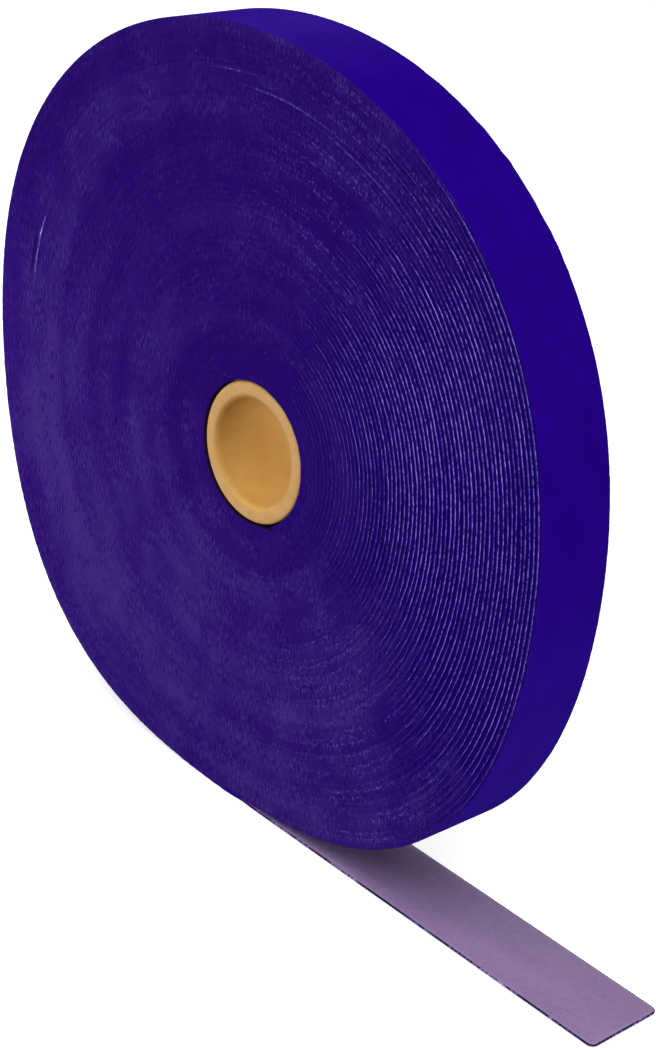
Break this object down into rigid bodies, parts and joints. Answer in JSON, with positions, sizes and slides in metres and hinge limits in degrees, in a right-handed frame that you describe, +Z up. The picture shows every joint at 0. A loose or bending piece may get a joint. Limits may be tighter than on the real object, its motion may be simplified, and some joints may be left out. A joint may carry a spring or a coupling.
{
  "type": "hook and loop tape roll",
  "caption": "Roll of back-to-back hook and loop tape wound on a cardboard core, standing on its rim with the tape's free tail lying flat beside it, to be lifted, unwound and cut.",
  "frame": {"origin": "on the surface that the roll stands on, straight below the core's axis and halfway across the tape's width", "axes": "+Z up, +Y along the core's axis away from the side that the picture shows, +X the way the free tail points"},
  "size_m": [0.2603, 0.025, 0.2183],
  "materials": {
    "core_cardboard": "matte",
    "tab_adhesive": "satin",
    "wound_tape": "matte",
    "loop_fabric": "matte pile",
    "hook_film": "matte"
  },
  "bodies": {
    "roll": {"core_tube": "core_cardboard", "start_tab": "tab_adhesive", "inner_turns": "wound_tape", "outer_turns": "wound_tape"},
    "tail_1": {"tail_loop_1": "loop_fabric", "tail_hook_1": "hook_film"},
    "tail_2": {"tail_loop_2": "loop_fabric", "tail_hook_2": "hook_film"},
    "tail_3": {"tail_loop_3": "loop_fabric", "tail_hook_3": "hook_film"},
    "tail_4": {"tail_loop_4": "loop_fabric", "tail_hook_4": "hook_film"},
    "tail_5": {"tail_loop_5": "loop_fabric", "tail_hook_5": "hook_film"},
    "tail_6": {"tail_loop_6": "loop_fabric", "tail_hook_6": "hook_film"},
    "tail_7": {"tail_loop_7": "loop_fabric", "tail_hook_7": "hook_film"},
    "tail_8": {"tail_loop_8": "loop_fabric", "tail_hook_8": "hook_film"}
  },
  "joints": [
    {"name": "tail_bend_1", "type": "hinge", "parent": "roll", "child": "tail_1", "pos_m": [0.02141, 0, 0.00045], "axis": [0, -1, 0], "range_deg": [0, 8]},
    {"name": "tail_bend_2", "type": "hinge", "parent": "tail_1", "child": "tail_2", "pos_m": [0.03656, 0, 0.00045], "axis": [0, -1, 0], "range_deg": [0, 8.8]},
    {"name": "tail_bend_3", "type": "hinge", "parent": "tail_2", "child": "tail_3", "pos_m": [0.05171, 0, 0.00045], "axis": [0, -1, 0], "range_deg": [0, 9.2]},
    {"name": "tail_bend_4", "type": "hinge", "parent": "tail_3", "child": "tail_4", "pos_m": [0.06686, 0, 0.00045], "axis": [0, -1, 0], "range_deg": [0, 10]},
    {"name": "tail_bend_5", "type": "hinge", "parent": "tail_4", "child": "tail_5", "pos_m": [0.08201, 0, 0.00045], "axis": [0, -1, 0], "range_deg": [0, 11.12]},
    {"name": "tail_bend_6", "type": "hinge", "parent": "tail_5", "child": "tail_6", "pos_m": [0.09716, 0, 0.00045], "axis": [0, -1, 0], "range_deg": [0, 10.8]},
    {"name": "tail_bend_7", "type": "hinge", "parent": "tail_6", "child": "tail_7", "pos_m": [0.11231, 0, 0.00045], "axis": [0, -1, 0], "range_deg": [0, 9.28]},
    {"name": "tail_bend_8", "type": "hinge", "parent": "tail_7", "child": "tail_8", "pos_m": [0.12746, 0, 0.00045], "axis": [0, -1, 0], "range_deg": [0, 8.4]}
  ],
  "couplings": [
    {"joint": "tail_bend_2", "follows": "tail_bend_1", "ratio": 1.1},
    {"joint": "tail_bend_3", "follows": "tail_bend_1", "ratio": 1.15},
    {"joint": "tail_bend_4", "follows": "tail_bend_1", "ratio": 1.25},
    {"joint": "tail_bend_5", "follows": "tail_bend_1", "ratio": 1.39},
    {"joint": "tail_bend_6", "follows": "tail_bend_1", "ratio": 1.35},
    {"joint": "tail_bend_7", "follows": "tail_bend_1", "ratio": 1.16},
    {"joint": "tail_bend_8", "follows": "tail_bend_1", "ratio": 1.05}
  ]
}
